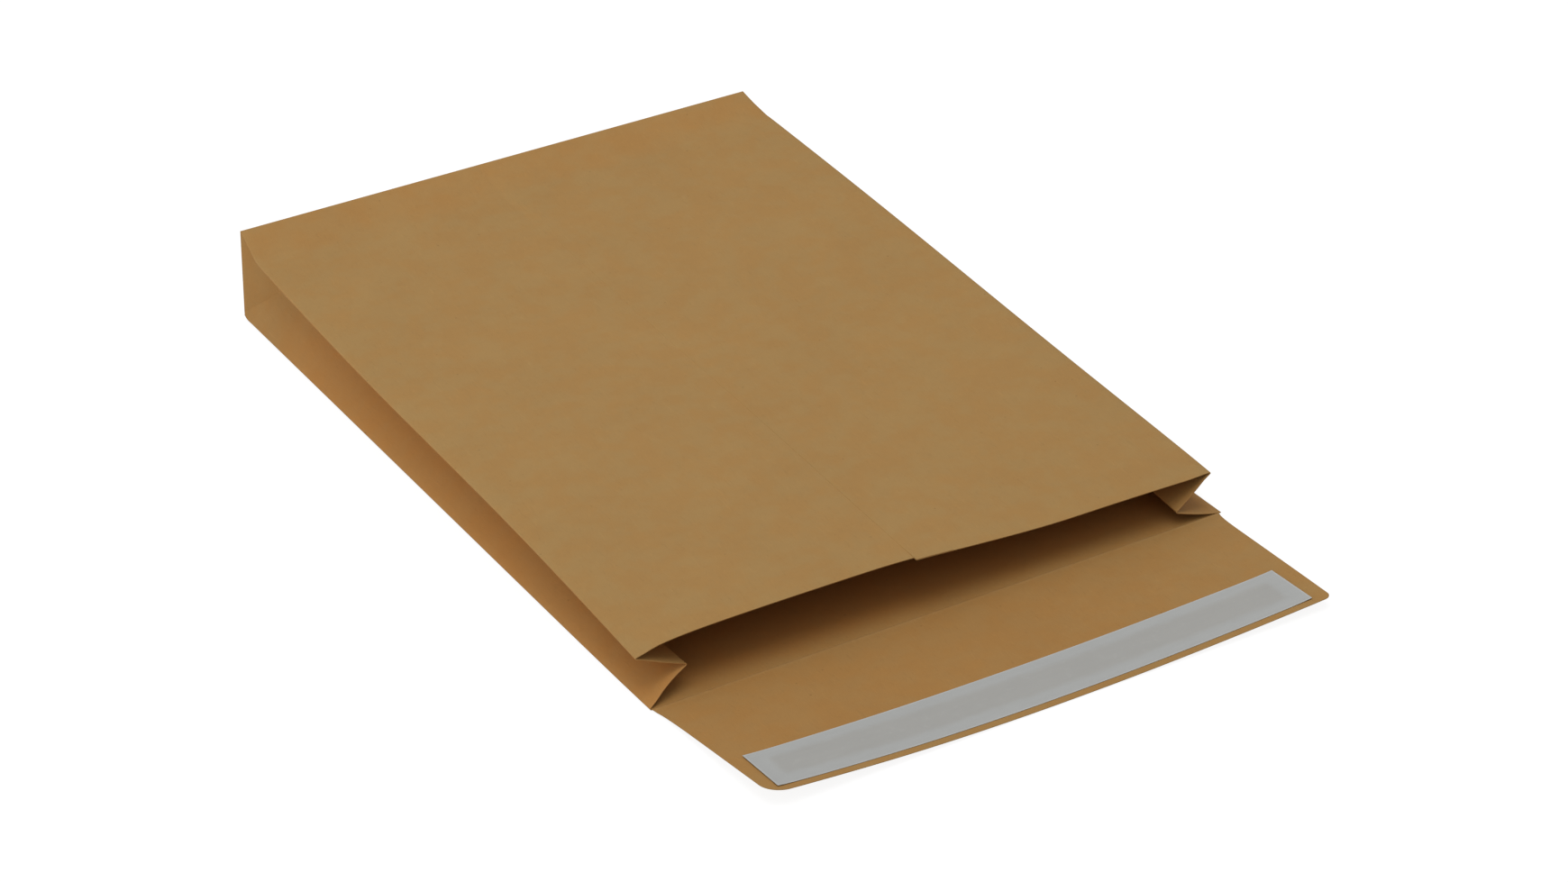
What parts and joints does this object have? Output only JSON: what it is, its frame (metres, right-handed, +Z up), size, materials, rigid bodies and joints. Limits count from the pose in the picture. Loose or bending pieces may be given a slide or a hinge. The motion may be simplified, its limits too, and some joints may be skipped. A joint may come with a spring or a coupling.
{
  "type": "gusseted mailing envelope",
  "caption": "Kraft paper mailing envelope with side gussets, a square block bottom and a long open flap with a covered adhesive strip.",
  "frame": {"origin": "centre of the bottom of the bounding box, on the surface that the envelope lies on", "axes": "+Y from the open flap towards the closed end, +Z up, +X to the right along the mouth"},
  "size_m": [0.254, 0.462, 0.0413],
  "materials": {
    "kraft_paper": "uncoated, matt",
    "adhesive": "tacky film, slightly glossy",
    "release_paper": "siliconed, satin"
  },
  "bodies": {
    "root": {"folded_sheet": "kraft_paper", "adhesive_strip": "adhesive", "release_liner": "release_paper"}
  },
  "joints": []
}
